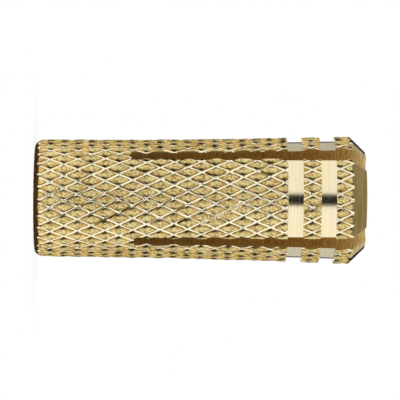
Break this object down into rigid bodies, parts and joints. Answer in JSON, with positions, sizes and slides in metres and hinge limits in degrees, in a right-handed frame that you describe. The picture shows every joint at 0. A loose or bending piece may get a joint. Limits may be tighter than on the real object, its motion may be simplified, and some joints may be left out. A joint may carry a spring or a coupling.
{
  "type": "brass expansion anchor",
  "caption": "Knurled, cross-slotted brass sleeve with a threaded bore, set in a drilled hole where its slotted end spreads to grip.",
  "frame": {"origin": "centre of the flat mouth end, where the sleeve's axis meets the surface it stands on", "axes": "+Z along the sleeve's axis, from the threaded mouth up to the slotted tip; the saw cuts lie at about 45 degrees to X and Y"},
  "size_m": [0.0086, 0.0086, 0.022],
  "materials": {
    "brass": "bright turned and knurled brass, a little tarnished in the slots"
  },
  "bodies": {
    "root": {"anchor_sleeve": "brass"}
  },
  "joints": []
}
